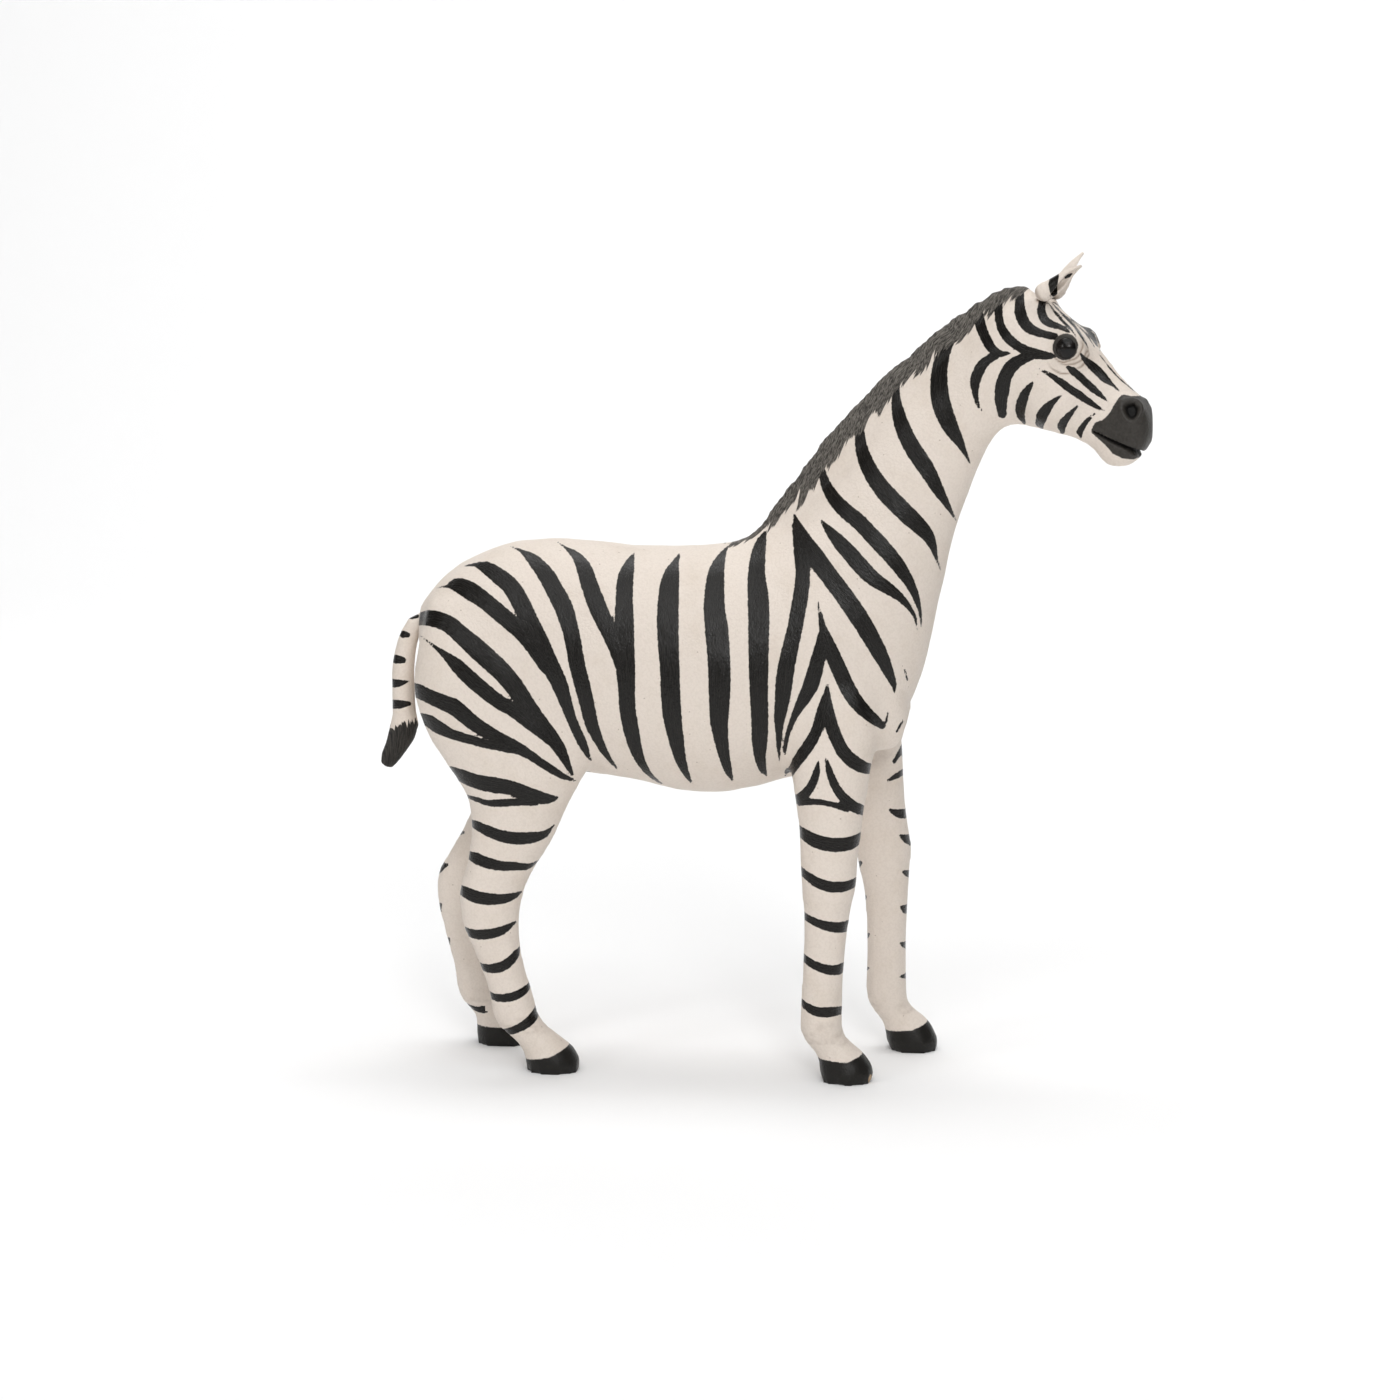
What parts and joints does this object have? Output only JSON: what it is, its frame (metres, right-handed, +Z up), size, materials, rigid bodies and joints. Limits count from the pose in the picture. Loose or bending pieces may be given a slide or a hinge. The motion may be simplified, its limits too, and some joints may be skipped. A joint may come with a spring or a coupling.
{
  "type": "zebra figurine",
  "caption": "Standing zebra figurine with a painted leather skin over a moulded core, an upright mane ridge, curled leather ears, a hanging tail and its head turned a little to its right.",
  "frame": {"origin": "centre of the bounding box's underside, on the plane the hooves stand on", "axes": "+X towards the head, +Y to the figure's left, +Z up"},
  "size_m": [0.3992, 0.0932, 0.4245],
  "materials": {
    "painted_leather": "off-white paint on leather with black stripes, satin",
    "tail_leather": "off-white painted leather with a black tuft, satin",
    "ear_leather": "thin painted leather, satin",
    "eye_glass": "dark polished glass, opaque"
  },
  "bodies": {
    "root": {"body": "painted_leather", "tail": "tail_leather", "ear_right": "ear_leather", "ear_left": "ear_leather", "eye_right": "eye_glass", "eye_left": "eye_glass"}
  },
  "joints": []
}
